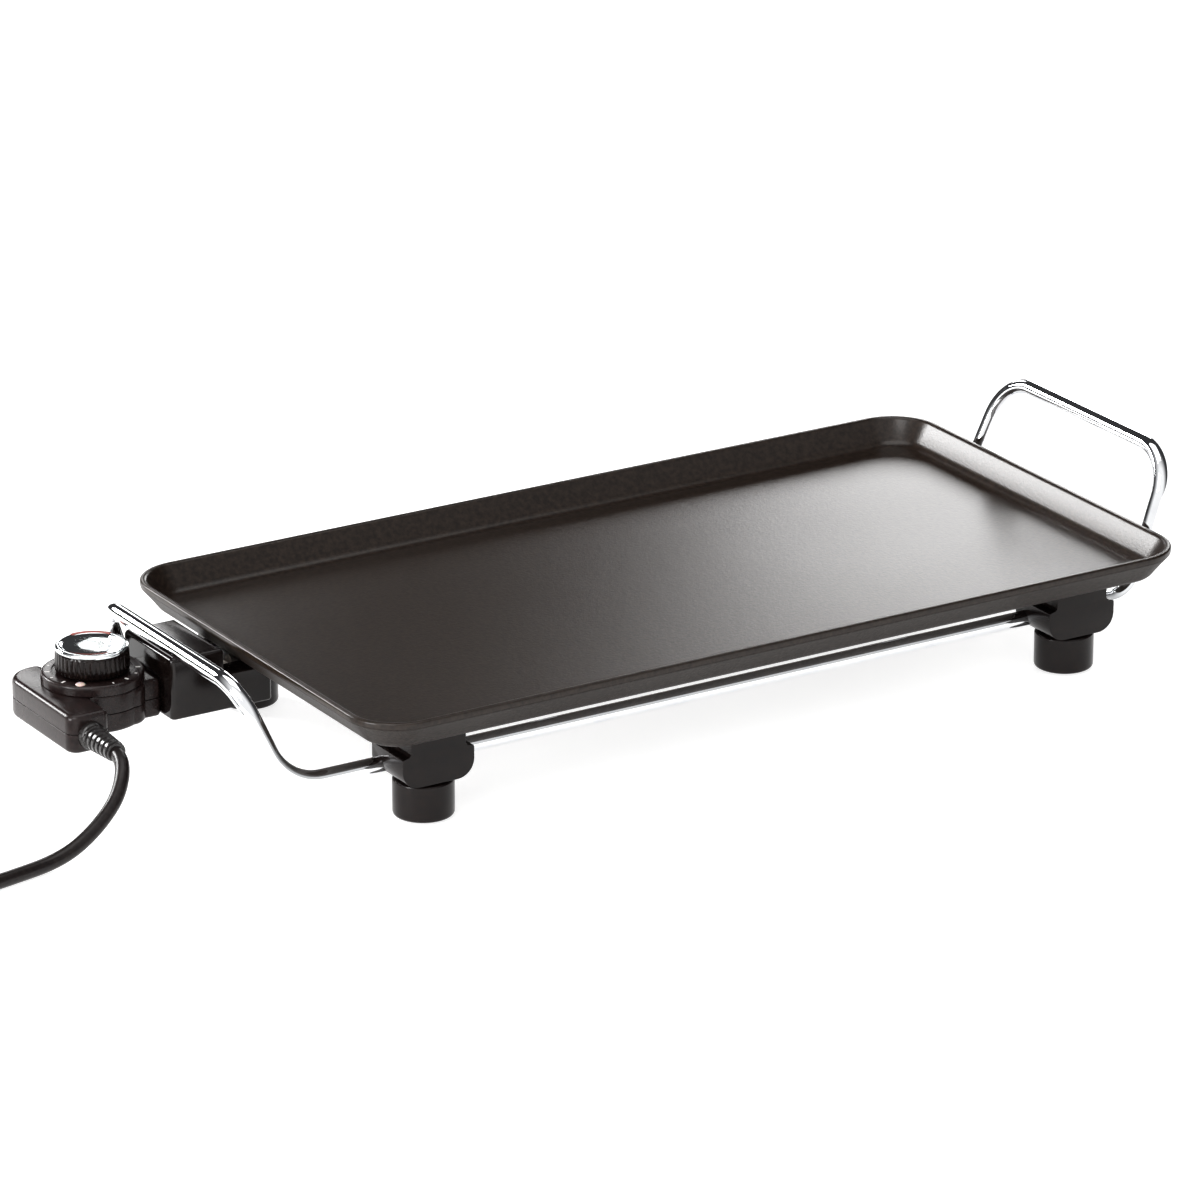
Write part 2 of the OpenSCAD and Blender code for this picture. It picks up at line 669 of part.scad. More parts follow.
griddle_plate();
heating_element();
element_clips();
probe_sleeve();
terminal_block();
terminal_pins();
socket_housing();
housing_screws();
leg_bracket(-1, -1);  // leg_bracket_fl
leg_bracket(1, -1);  // leg_bracket_fr
leg_bracket(-1, 1);  // leg_bracket_bl
leg_bracket(1, 1);  // leg_bracket_br
bracket_screws();
threaded_inserts();
foot_stud(-1, -1);  // foot_stud_fl
foot_stud(1, -1);  // foot_stud_fr
foot_stud(-1, 1);  // foot_stud_bl
foot_stud(1, 1);  // foot_stud_br
foot_knob(-1, -1);  // foot_knob_fl
foot_knob(1, -1);  // foot_knob_fr
foot_knob(-1, 1);  // foot_knob_bl
foot_knob(1, 1);  // foot_knob_br
foot_pad(-1, -1);  // foot_pad_fl
foot_pad(1, -1);  // foot_pad_fr
foot_pad(-1, 1);  // foot_pad_bl
foot_pad(1, 1);  // foot_pad_br
left_handle();
right_handle();
side_rod(-1);  // front_rod
side_rod(1);  // rear_rod
controller_lower_shell();
controller_upper_shell();
shell_screws();
thermostat_switch();
temperature_probe();
contact_sockets();
shaft_bush();
dial_collar();
pilot_lens();
knob_shaft();
control_knob();
knob_cap();
strain_relief();
power_cord();
cord_coil();
coil_tie();
plug_body();
plug_pins();
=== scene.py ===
import json
import math

import bmesh
import bpy
from mathutils import Matrix, Vector


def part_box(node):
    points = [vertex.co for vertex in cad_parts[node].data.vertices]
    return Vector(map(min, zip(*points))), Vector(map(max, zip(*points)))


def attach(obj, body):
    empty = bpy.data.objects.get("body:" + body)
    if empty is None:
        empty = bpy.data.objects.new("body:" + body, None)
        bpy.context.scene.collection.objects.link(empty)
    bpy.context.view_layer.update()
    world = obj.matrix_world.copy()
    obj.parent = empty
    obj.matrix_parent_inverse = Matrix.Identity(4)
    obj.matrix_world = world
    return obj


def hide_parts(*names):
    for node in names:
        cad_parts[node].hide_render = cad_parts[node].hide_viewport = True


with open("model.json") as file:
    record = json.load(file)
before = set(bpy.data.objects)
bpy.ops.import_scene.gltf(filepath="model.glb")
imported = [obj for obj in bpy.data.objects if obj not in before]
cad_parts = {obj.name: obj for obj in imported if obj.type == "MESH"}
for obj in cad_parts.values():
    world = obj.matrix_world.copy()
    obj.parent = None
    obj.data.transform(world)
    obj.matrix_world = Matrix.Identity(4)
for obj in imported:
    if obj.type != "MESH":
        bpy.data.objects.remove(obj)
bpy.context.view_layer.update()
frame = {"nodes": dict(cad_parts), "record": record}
scene = bpy.context.scene
MM = 0.001

# P takes mm from the plate's middle, which is off the row's origin along X.
# The camera and the lights are in metres.
plate_lo, plate_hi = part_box("griddle_plate")
OX = (plate_lo.x + plate_hi.x) / 2
HALF_L = (plate_hi.x - plate_lo.x) / 2 / MM
HALF_W = (plate_hi.y - plate_lo.y) / 2 / MM
CORNER_R = 26
FLOOR_Z = 52.0
UNDER_Z = 48.5
TOP_Z = 64.5
LEG_X = 182.5
LEG_Y = 84.5
ROD_R = 4
ROD_Y = 76.5
ROD_Z = 26.5

# The controller plugs in along X at this Y, with its probe and pins at PIN_Z
CTRL_Y = 43.5
PIN_Z = 37.5
PIN_GAP = 9
HOUSING_SCREW_X = -212
HOUSING_SCREW_Y = 17.9
KNOB_X = -288.0
CASE_Z = 28.0
CASE_TOP = 47.0

# The lead leaves the case at EXIT_X, EXIT_Y, EXIT_Z and its coil lies round COIL_X, COIL_Y
CORD_D = 7
EXIT_X = -310
EXIT_Y = 4
EXIT_Z = 36.5
COIL_X = -452
COIL_Y = -20
COIL_R = 38
COIL_Z = 4.3
COIL_TURNS = 5.25
TAIL_X = COIL_X - COIL_R - CORD_D


def P(x, y, z):
    return Vector((OX + x * MM, y * MM, z * MM))


# ---------------------------------------------------------------- camera

AZ = math.radians(-31.68)
EL = math.radians(20.58)
DIST = 3.34
SHIFT_LEFT = 0.02865
SHIFT_UP = 0.04105
back = Vector((math.sin(AZ) * math.cos(EL), -math.cos(AZ) * math.cos(EL), math.sin(EL)))
right = Vector((math.cos(AZ), math.sin(AZ), 0))
up = back.cross(right)
cam = bpy.data.objects.new("camera", bpy.data.cameras.new("camera"))
scene.collection.objects.link(cam)
turn = Matrix((right, up, back)).transposed().to_4x4()
eye = Vector((OX, 0, 0)) + back * DIST - right * SHIFT_LEFT + up * SHIFT_UP
cam.matrix_world = Matrix.Translation(eye) @ turn
cam.data.sensor_width = 36
cam.data.lens = 204.6
cam.data.clip_end = 50
scene.camera = cam


# ---------------------------------------------------------------- materials

def surface(name, dark, light, rough, metallic=0.0, grain=400.0, stretch=(1, 1, 1), bump=0.1,
            bump_scale=1500.0, spec=0.5, coat=0.0, patch=60.0):
    """Colour between dark and light from a fine noise, roughness from a broad one, and a fine bump."""
    m = bpy.data.materials.new(name)
    m.use_nodes = True
    nt = m.node_tree
    sh = nt.nodes["Principled BSDF"]

    def node(kind, **values):
        n = nt.nodes.new(kind)
        for k, v in values.items():
            n.inputs[k].default_value = v
        return n

    co = node("ShaderNodeTexCoord")
    mp = node("ShaderNodeMapping", Scale=stretch)
    nt.links.new(co.outputs["Object"], mp.inputs["Vector"])
    fine = node("ShaderNodeTexNoise", Scale=grain, Detail=5.0, Roughness=0.6)
    nt.links.new(mp.outputs["Vector"], fine.inputs["Vector"])
    ramp = node("ShaderNodeValToRGB")
    ramp.color_ramp.elements[0].position = 0.36
    ramp.color_ramp.elements[1].position = 0.66
    ramp.color_ramp.elements[0].color = (*dark, 1)
    ramp.color_ramp.elements[1].color = (*light, 1)
    nt.links.new(fine.outputs["Fac"], ramp.inputs["Fac"])
    nt.links.new(ramp.outputs["Color"], sh.inputs["Base Color"])
    broad = node("ShaderNodeTexNoise", Scale=patch, Detail=3.0)
    nt.links.new(mp.outputs["Vector"], broad.inputs["Vector"])
    rr = node("ShaderNodeMapRange")
    rr.inputs["From Min"].default_value = 0.3
    rr.inputs["From Max"].default_value = 0.7
    rr.inputs["To Min"].default_value = rough[0]
    rr.inputs["To Max"].default_value = rough[1]
    nt.links.new(broad.outputs["Fac"], rr.inputs["Value"])
    nt.links.new(rr.outputs["Result"], sh.inputs["Roughness"])
    if bump:
        pits = node("ShaderNodeTexNoise", Scale=bump_scale, Detail=2.0)
        nt.links.new(mp.outputs["Vector"], pits.inputs["Vector"])
        bm = node("ShaderNodeBump", Strength=bump, Distance=0.0004)
        nt.links.new(pits.outputs["Fac"], bm.inputs["Height"])
        nt.links.new(bm.outputs["Normal"], sh.inputs["Normal"])
    sh.inputs["Metallic"].default_value = metallic
    sh.inputs["Specular IOR Level"].default_value = spec
    sh.inputs["Coat Weight"].default_value = coat
    sh.inputs["Coat Roughness"].default_value = 0.08
    return m


NONSTICK = surface("nonstick", (0.011, 0.007, 0.005), (0.028, 0.019, 0.014), (0.27, 0.32), grain=420,
                   bump=0.12, bump_scale=800, spec=0.42, patch=3)
SKIRT = surface("cast_skirt", (0.012, 0.009, 0.007), (0.028, 0.021, 0.018), (0.42, 0.5), grain=600, bump=0.4,
                bump_scale=1100, spec=0.2, patch=14)
CAST = surface("cast_underside", (0.030, 0.026, 0.024), (0.060, 0.052, 0.048), (0.45, 0.6), grain=500,
               bump=0.5, bump_scale=900)
CHROME = surface("chrome", (0.80, 0.81, 0.83), (0.88, 0.89, 0.90), (0.035, 0.075), metallic=1.0, grain=60,
                 bump=0.02, bump_scale=220)
GLOSS = surface("black_phenolic", (0.005, 0.003, 0.003), (0.010, 0.006, 0.005), (0.16, 0.22), grain=300,
                bump=0.05, bump_scale=500, spec=0.3, patch=25)
HOUSE = surface("black_gloss", (0.005, 0.003, 0.003), (0.010, 0.007, 0.006), (0.12, 0.17), grain=260,
                bump=0.03, bump_scale=400, spec=0.4, patch=25)
CASE = surface("case_plastic", (0.010, 0.006, 0.006), (0.020, 0.012, 0.011), (0.24, 0.32), grain=500,
               bump=0.14, bump_scale=1400, spec=0.35, patch=25)
RUBBER = surface("rubber", (0.008, 0.007, 0.007), (0.018, 0.016, 0.016), (0.5, 0.6), grain=700, bump=0.3,
                 spec=0.3)
SHEATH = surface("pvc_sheath", (0.006, 0.004, 0.004), (0.014, 0.010, 0.009), (0.28, 0.36), grain=420,
                 bump=0.12, bump_scale=800, spec=0.35)
BOOT = surface("boot_rubber", (0.010, 0.009, 0.009), (0.022, 0.019, 0.018), (0.22, 0.3), grain=600, bump=0.15,
               spec=0.7)
STEEL = surface("steel", (0.50, 0.50, 0.51), (0.64, 0.64, 0.65), (0.22, 0.34), metallic=1.0, grain=500,
                stretch=(1, 1, 6), bump=0.08)
HEATER = surface("heater_sheath", (0.20, 0.18, 0.17), (0.34, 0.31, 0.29), (0.38, 0.52), metallic=1.0,
                 grain=300, bump=0.2)
BRASS = surface("brass", (0.58, 0.42, 0.17), (0.70, 0.53, 0.25), (0.25, 0.36), metallic=1.0, grain=400,
                bump=0.08)
ALU = surface("bare_aluminium", (0.50, 0.50, 0.50), (0.62, 0.62, 0.63), (0.35, 0.5), metallic=1.0, grain=400,
              bump=0.2)
CERAMIC = surface("ceramic", (0.66, 0.62, 0.55), (0.78, 0.75, 0.69), (0.5, 0.62), grain=350, bump=0.2)
CAP = surface("chrome_cap", (0.78, 0.82, 0.83), (0.88, 0.90, 0.90), (0.06, 0.13), metallic=1.0, grain=90,
              stretch=(1, 8, 1), bump=0.03, bump_scale=700)
PRINT = surface("print_white", (0.62, 0.60, 0.58), (0.74, 0.72, 0.70), (0.45, 0.55), grain=900, bump=0.05)
RED = surface("print_red", (0.22, 0.045, 0.03), (0.32, 0.07, 0.05), (0.4, 0.5), grain=900, bump=0.05)
LENS = surface("amber_lens", (0.62, 0.36, 0.32), (0.74, 0.48, 0.44), (0.08, 0.14), grain=200, bump=0.02,
               coat=0.5)
LENS.node_tree.nodes["Principled BSDF"].inputs["Subsurface Weight"].default_value = 0.3


# ---------------------------------------------------------------- mesh helpers

def add(name, bm, mat, body, node, angle):
    bmesh.ops.recalc_face_normals(bm, faces=bm.faces)
    me = bpy.data.meshes.new(name)
    bm.to_mesh(me)
    bm.free()
    me.materials.append(mat)
    o = bpy.data.objects.new(name, me)
    scene.collection.objects.link(o)
    soften(o, angle)
    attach(o, body)
    if node:
        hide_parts(node)
    return o


def soften(o, angle):
    for f in o.data.polygons:
        f.use_smooth = True
    bm = bmesh.new()
    bm.from_mesh(o.data)
    for e in bm.edges:
        e.smooth = len(e.link_faces) == 2 and e.calc_face_angle(0) < math.radians(angle)
    bm.to_mesh(o.data)
    bm.free()


def loft(bm, loops, closed=False):
    rings = [[bm.verts.new(p) for p in loop] for loop in loops]
    n = len(rings[0])
    pairs = list(zip(rings, rings[1:])) + ([(rings[-1], rings[0])] if closed else [])
    for a, b in pairs:
        for i in range(n):
            bm.faces.new((a[i], a[(i + 1) % n], b[(i + 1) % n], b[i]))
    if not closed:
        bm.faces.new(rings[0][::-1])
        bm.faces.new(rings[-1])


def turned(bm, profile, at, axis=(0, 0, 1), segs=64, lobes=None):
    """A turned solid from (radius, height) pairs; lobes(angle, radius, height) trims the radius."""
    z = Vector(axis).normalized()
    x = (Vector((0, 1, 0)) if abs(z.y) < 0.9 else Vector((1, 0, 0))).cross(z).normalized()
    y = z.cross(x)
    loops = []
    for r, h in profile:
        loop = []
        for k in range(segs):
            a = 2 * math.pi * k / segs
            rr = lobes(a, r, h) if lobes else r
            q = (x * math.cos(a) + y * math.sin(a)) * rr + z * h
            loop.append(P(at[0] + q.x, at[1] + q.y, at[2] + q.z))
        loops.append(loop)
    loft(bm, loops)


def circle(x, y, r, z, n):
    return [P(x + r * math.cos(2 * math.pi * k / n), y + r * math.sin(2 * math.pi * k / n), z)
            for k in range(n)]


def arc(cx, cy, r, a0, a1, n):
    out = []
    for i in range(n + 1):
        a = math.radians(a0 + (a1 - a0) * i / n)
        out.append((cx + r * math.cos(a), cy + r * math.sin(a)))
    return out


def bez(a, b, c, n=6):
    out = []
    for i in range(n + 1):
        t = i / n
        out.append(tuple(a[k] * (1 - t) ** 2 + 2 * b[k] * t * (1 - t) + c[k] * t * t for k in range(2)))
    return out


def plan(x0, x1, y0, y1, radii, inset, n=6):
    """A rectangle with its own radius at each corner (++, -+, --, +-), drawn in by inset."""
    x0, x1, y0, y1 = x0 + inset, x1 - inset, y0 + inset, y1 - inset
    rs = [max(r - inset, 0.15) for r in radii]
    return (arc(x1 - rs[0], y1 - rs[0], rs[0], 0, 90, n) + arc(x0 + rs[1], y1 - rs[1], rs[1], 90, 180, n)
            + arc(x0 + rs[2], y0 + rs[2], rs[2], 180, 270, n)
            + arc(x1 - rs[3], y0 + rs[3], rs[3], 270, 360, n))


def edge(z0, z1, r0, r1, n=5):
    """(inset, height) steps of a side with rounded foot and head."""
    out = [(r0 - r0 * math.sin(math.radians(90 * i / n)), z0 + r0 - r0 * math.cos(math.radians(90 * i / n)))
           for i in range(n + 1)]
    out += [(r1 - r1 * math.cos(math.radians(90 * i / n)), z1 - r1 + r1 * math.sin(math.radians(90 * i / n)))
            for i in range(n + 1)]
    return out


def block(bm, x0, x1, y0, y1, z0, z1, radii, r0, r1, n=6):
    loft(bm, [[P(x, y, z) for x, y in plan(x0, x1, y0, y1, radii, i, n)] for i, z in edge(z0, z1, r0, r1)])


def block_x(bm, x0, x1, y0, y1, z0, z1, radii, r0, r1, n=5):
    """The same, standing on its end along X: radii are the corners seen along X."""
    loft(bm, [[P(x, y, z) for y, z in plan(y0, y1, z0, z1, radii, i, n)] for i, x in edge(x0, x1, r0, r1)])


def solid(fill):
    bm = bmesh.new()
    fill(bm)
    bmesh.ops.recalc_face_normals(bm, faces=bm.faces)
    me = bpy.data.meshes.new("tool")
    bm.to_mesh(me)
    bm.free()
    o = bpy.data.objects.new("tool", me)
    scene.collection.objects.link(o)
    return o


def boolean(o, tools, operation):
    for t in tools:
        mod = o.modifiers.new("cut", "BOOLEAN")
        mod.operation = operation
        mod.solver = "EXACT"
        mod.object = t
        bpy.context.view_layer.update()
        got = bpy.data.meshes.new_from_object(o.evaluated_get(bpy.context.evaluated_depsgraph_get()))
        o.modifiers.clear()
        o.data = got
        bpy.data.objects.remove(t)


def keep(o, name, mat, body, node, angle):
    o.name = name
    o.data.name = name
    o.data.materials.clear()
    o.data.materials.append(mat)
    soften(o, angle)
    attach(o, body)
    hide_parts(node)


def body_of(node):
    for body, nodes in frame["record"]["behaviour"]["bodies"].items():
        if node in nodes:
            return body


def edged(node, mat, width):
    """The CAD node's own shape with its hard edges broken."""
    src = frame["nodes"][node]
    bm = bmesh.new()
    bm.from_mesh(src.data)
    bmesh.ops.remove_doubles(bm, verts=bm.verts, dist=2e-6)
    bmesh.ops.dissolve_limit(bm, angle_limit=math.radians(0.6), verts=bm.verts, edges=bm.edges)
    hard = [e for e in bm.edges if len(e.link_faces) == 2 and e.calc_face_angle(0) > math.radians(32.0)]
    bmesh.ops.bevel(bm, geom=hard, offset=width * MM, offset_type="OFFSET", segments=3, profile=0.5,
                    affect="EDGES", clamp_overlap=True)
    add(node + "_edged", bm, mat, body_of(node), node, 28.0)


# ---------------------------------------------------------------- the mains lead

def smooth_route(points, steps):
    """A Catmull-Rom curve through the points."""
    out = []
    for i in range(len(points) - 1):
        a, b = points[max(i - 1, 0)], points[i]
        c, d = points[i + 1], points[min(i + 2, len(points) - 1)]
        for j in range(steps):
            t = j / steps
            out.append(0.5 * ((2 * b) + (c - a) * t + (2 * a - 5 * b + 4 * c - d) * t * t
                              + (3 * b - 3 * c + d - a) * t ** 3))
    return out + [points[-1]]


def lead_points():
    free = [P(*p) for p in ((-310, 2, 36.5), (-310, -10, 36.5), (-310, -21, 36.3), (-312, -30.5, 34),
                            (-316.5, -38, 29), (-322.8, -43.5, 22.8), (-331, -47, 16.5),
                            (-340.5, -49.7, 10.8),
                            (-351, -52, 6.4), (-363.5, -54.3, 4), (-379, -57.5, 3.6), (-397, -61, 3.6),
                            (-415, -63.5, 3.8), (-434, -64.8, 4.1))]
    inner = COIL_R - CORD_D
    outer = COIL_R + CORD_D
    rows = [(outer, 0), (COIL_R, 0), (inner, 0), (inner, 1), (COIL_R, 1), (outer, 1)]
    coil = []
    steps = 28
    for k in range(int(COIL_TURNS * steps) + 1):
        turn, part = divmod(k, steps)
        r, layer = rows[turn]
        share = part / steps
        if share > 0.8 and turn < 5:
            t = (share - 0.8) / 0.2
            t = t * t * (3 - 2 * t)
            r += (rows[turn + 1][0] - r) * t
            layer += (rows[turn + 1][1] - layer) * t
        a = math.radians(-90) - 2 * math.pi * k / steps
        coil.append(P(COIL_X + r * math.cos(a), COIL_Y + r * math.sin(a), COIL_Z + layer * CORD_D * 0.87))
    tail = [P(TAIL_X, COIL_Y + y, z) for y, z in ((12, 10.3), (24, 10.7), (36, 11.7), (47, 13.0))]
    return free, coil, tail


free, coil, tail = lead_points()
route = smooth_route(free + [coil[0]], 3)[:-1] + coil + tail
curve = bpy.data.curves.new("mains_lead", "CURVE")
curve.dimensions = "3D"
spline = curve.splines.new("NURBS")
spline.points.add(len(route) - 1)
for q, p in zip(spline.points, route):
    q.co = (*p, 1)
spline.use_endpoint_u = True
spline.order_u = 4
spline.resolution_u = 4
curve.bevel_depth = CORD_D / 2 * MM
curve.bevel_resolution = 6
curve.use_fill_caps = True
curve.materials.append(SHEATH)
lead = bpy.data.objects.new("mains_lead", curve)
scene.collection.objects.link(lead)
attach(lead, "controller")
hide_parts("power_cord", "cord_coil")


def strain_relief():
    bm = bmesh.new()
    prof = [(3.6, -2), (5, -2), (5, 0.2), (6.8, 0.2), (6.8, 2.6), (6.3, 3)]
    ribs = 6
    for i in range(ribs):
        h = 3 + 22 * i / ribs
        r = 6.1 - 1.3 * i / ribs
        prof += [(r, h + 0.3), (r, h + 2.1), (r - 1.1, h + 2.5), (r - 1.1, h + 3.4)]
    prof += [(4.7, 25.2), (4.6, 25.8), (4.2, 26), (3.6, 26)]
    turned(bm, prof, (EXIT_X, EXIT_Y, EXIT_Z), (0, -1, 0), 40)
    return add("strain_relief_boot", bm, BOOT, "controller", "strain_relief", 30)


boot = strain_relief()


def plug():
    tilt = math.radians(7)
    at = (TAIL_X, COIL_Y + 46, 12.9)
    axis = (0, math.cos(tilt), math.sin(tilt))
    bm = bmesh.new()
    prof = [(3.5, 0), (4.7, 0)] + [(5 + 1.5 * h / 18, h) for h in (1, 4, 7, 10, 13, 16)]
    prof += bez((6.6, 18), (7.5, 22), (13.5, 24.5), 8)[1:]
    prof += bez((13.5, 24.5), (16.2, 25.6), (16.4, 29), 5)[1:]
    prof += [(17.2, 36), (18.0, 42)] + bez((18.0, 43), (18.3, 45.8), (16.6, 46), 4)
    prof += [(15.2, 46), (15.0, 45.2), (6, 45.0)]

    def grip(a, r, h):
        return r - 0.9 * max(0.0, math.cos(2 * a)) ** 6 * (1 if 25 < h < 43 else 0)

    turned(bm, prof, at, axis, 72, grip)
    body = add("plug_shell", bm, GLOSS, "controller", "plug_body", 35)
    bm = bmesh.new()
    pin_r = 2.4
    side = [(pin_r, 45.1), (pin_r, 62.2)]
    for turn in (20, 45, 70, 85):
        side.append((pin_r * math.cos(math.radians(turn)), 62.2 + 3 * math.sin(math.radians(turn))))
    for s in (-1, 1):
        turned(bm, side, (at[0] + s * 9.5, at[1], at[2]), axis, 28)
    pins = add("plug_contact_pins", bm, BRASS, "controller", "plug_pins", 30)
    return body, pins


plug_shell, plug_contacts = plug()


def tie():
    bm = bmesh.new()
    width = 21
    x0 = COIL_X + COIL_R - width / 2 - 1.9
    x1 = COIL_X + COIL_R + width / 2 + 1.3
    foot = 0.1
    head = 14.7

    def ring(y, head_r, foot_r):
        outline = (arc(x1 - 3, head - 3, head_r, 0, 90, 5) + arc(x0 + 3, head - 3, head_r, 90, 180, 5)
                   + arc(x0 + 2, foot + 2, foot_r, 180, 270, 5) + arc(x1 - 2, foot + 2, foot_r, 270, 360, 5))
        return [P(x, COIL_Y + y, z) for x, z in outline]

    loft(bm, [ring(-4.5, 3, 2), ring(4.5, 3, 2), ring(4.8, 2.2, 1.4), ring(-4.8, 2.2, 1.4)], closed=True)
    return add("coil_strap", bm, RUBBER, "controller", "coil_tie", 40)


strap = tie()


# ---------------------------------------------------------------- plate

def plate_ring(u, z):
    """The plate's outline at height z, with u the distance from each corner's centre."""
    n = 14
    cx = HALF_L - CORNER_R
    cy = HALF_W - CORNER_R
    pts = (arc(cx, cy, u, 0, 90, n) + arc(-cx, cy, u, 90, 180, n)
           + arc(-cx, -cy, u, 180, 270, n) + arc(cx, -cy, u, 270, 360, n))
    return [P(x, y, z) for x, y in pts]


def plate():
    bm = bmesh.new()
    prof = [(4, FLOOR_Z)] + bez((9.5, FLOOR_Z), (14.0, FLOOR_Z), (16.4, 55.0), 8)
    prof += [(19.0, 58.6), (21.6, 62.2)]
    prof += bez((22.0, 62.9), (22.8, TOP_Z), (24.1, TOP_Z), 6)
    prof += bez((24.7, TOP_Z), (CORNER_R, TOP_Z), (CORNER_R, 63.4), 6)
    prof += [(CORNER_R, 62.6)] + bez((CORNER_R, 62.1), (CORNER_R, 61.2), (25.2, 60.4), 4) + [(21.6, 56.2)]
    prof += bez((18.2, 51.9), (16.0, UNDER_Z), (12.5, UNDER_Z), 8) + [(6, UNDER_Z)]
    loft(bm, [plate_ring(u, z) for u, z in prof])
    o = add("griddle_tray", bm, NONSTICK, "griddle", "griddle_plate", 35)
    o.data.materials.append(SKIRT)
    o.data.materials.append(CAST)
    for f in o.data.polygons:
        if f.normal.z < -0.2 and f.center.z < 0.0615:
            f.material_index = 2 if f.center.z < 0.0495 else 1
    bm = bmesh.new()
    for sx in (-1, 1):
        for sy in (-1, 1):
            x, y = sx * LEG_X, sy * LEG_Y
            block(bm, x - 14.5, x + 14.5, y - 11.9, y + 11.9, 46.6, 48.6, (3, 3, 3, 3), 0.5, 0.1)
    for s in (-1, 1):
        turned(bm, [(3.9, 46.6), (4.4, 47.1), (4.4, 48.6)],
               (HOUSING_SCREW_X, CTRL_Y + s * HOUSING_SCREW_Y, 0), segs=28)
    add("cast_bosses", bm, CAST, "griddle", None, 35)


plate()


# ---------------------------------------------------------------- chrome rods

def rounded_path(points, radii):
    """The path through the points, with an arc of its own radius at each inner one."""
    pts = [Vector(p) for p in points]
    out = [pts[0]]
    for i in range(1, len(pts) - 1):
        d0 = (pts[i] - pts[i - 1]).normalized()
        d1 = (pts[i + 1] - pts[i]).normalized()
        th = d0.angle(d1)
        r = radii[i - 1]
        cut = r * math.tan(th / 2)
        axis = d0.cross(d1).normalized()
        centre = pts[i] - d0 * cut + axis.cross(d0) * r
        arm = pts[i] - d0 * cut - centre
        n = max(6, int(math.degrees(th) / 4))
        out += [centre + Matrix.Rotation(th * k / n, 3, axis) @ arm for k in range(n + 1)]
    out.append(pts[-1])
    return out


def rod(bm, path):
    """A round rod along the path, with a small chamfer at each end."""
    sides = 36
    chamfer = 0.5
    pts = [Vector(p) for p in path]
    dirs = []
    for i in range(len(pts)):
        a, b = pts[max(i - 1, 0)], pts[min(i + 1, len(pts) - 1)]
        dirs.append((b - a).normalized())
    stations = [(pts[0], dirs[0], ROD_R - chamfer), (pts[0] + dirs[0] * chamfer, dirs[0], ROD_R)]
    stations += [(pts[i], dirs[i], ROD_R) for i in range(1, len(pts) - 1)]
    stations += [(pts[-1] - dirs[-1] * chamfer, dirs[-1], ROD_R), (pts[-1], dirs[-1], ROD_R - chamfer)]
    across = Vector((0, 0, 1)) if abs(dirs[0].z) < 0.9 else Vector((0, 1, 0))
    loops = []
    for p, d, r in stations:
        across = (across - d * across.dot(d)).normalized()
        other = d.cross(across)
        loop = []
        for k in range(sides):
            a = 2 * math.pi * k / sides
            loop.append(P(*(p + (across * math.cos(a) + other * math.sin(a)) * r)))
        loops.append(loop)
    loft(bm, loops)


def handle(name, node, path, radii):
    bm = bmesh.new()
    rod(bm, rounded_path(path, radii))
    add(name, bm, CHROME, "griddle", node, 40)


def rods():
    handle("left_handle_rod", "left_handle",
           [(-184, -ROD_Y, ROD_Z), (-250.5, -ROD_Y, ROD_Z), (-269.5, -65, 74.5), (-269.5, 65, 74.5),
            (-250.5, ROD_Y, ROD_Z), (-184, ROD_Y, ROD_Z)], [26, 20, 20, 26])
    handle("right_handle_rod", "right_handle",
           [(184, -ROD_Y, ROD_Z), (227.5, -ROD_Y, ROD_Z), (254.5, -70.5, 93), (254.5, 70.5, 93),
            (227.5, ROD_Y, ROD_Z), (184, ROD_Y, ROD_Z)], [18, 24, 24, 18])
    for sy, node in ((-1, "front_rod"), (1, "rear_rod")):
        bm = bmesh.new()
        rod(bm, [(-181, sy * ROD_Y, ROD_Z), (0, sy * ROD_Y, ROD_Z), (181, sy * ROD_Y, ROD_Z)])
        add(node + "_bar", bm, CHROME, "griddle", node, 40)


rods()


# ---------------------------------------------------------------- legs and feet

def feet():
    for c, sx, sy in (("fl", -1, -1), ("fr", 1, -1), ("bl", -1, 1), ("br", 1, 1)):
        x, y = sx * LEG_X, sy * LEG_Y
        edged("leg_bracket_" + c, GLOSS, 0.9)
        bm = bmesh.new()
        prof = [(11.6, 1.1), (12.6, 1.0)] + bez((13.0, 1.0), (14.7, 1.1), (14.7, 3.0), 5)
        prof += [(14.7, 10), (14.7, 17.4)] + bez((14.7, 18.2), (14.7, 19.0), (13.9, 19.4), 4)
        prof += [(12.4, 20.05), (5, 20.1), (2.6, 20.1), (2.6, 8), (5.3, 8), (5.3, 2.5), (11.6, 2.5)]
        loft(bm, [circle(x, y, r, h, 72) for r, h in prof], closed=True)
        add("foot_barrel_" + c, bm, GLOSS, "foot_" + c, "foot_knob_" + c, 35)
        bm = bmesh.new()
        pad = [(9.5, 0.0), (10.9, 0.05), (11.4, 0.5), (11.4, 2.0), (11.0, 2.4)]
        turned(bm, [(6.0, 0.5), (6.4, 0.0)] + pad, (x, y, 0), segs=56)
        add("foot_sole_disc_" + c, bm, RUBBER, "foot_sole_" + c, "foot_pad_" + c, 35)
        bm = bmesh.new()
        prof = [(4.5, 5), (5, 5.4), (5, 7.6), (4.6, 8), (2.5, 8), (2.5, 12)]
        prof += [(2.5 - 0.28 * (k % 2), 12 + 0.5 * k) for k in range(1, 54)] + [(2.0, 39.6), (1.6, 40)]
        turned(bm, prof, (x, y, 0), segs=36)
        add("foot_screw_" + c, bm, STEEL, "foot_" + c, "foot_stud_" + c, 25)


feet()


# ---------------------------------------------------------------- socket housing

def bore_x(r, y, x0, x1, segs):
    """A cutter along X at the height of the probe and pins."""
    return solid(lambda b: turned(b, [(r, x0), (r, x1)], (0, y, PIN_Z), (1, 0, 0), segs))


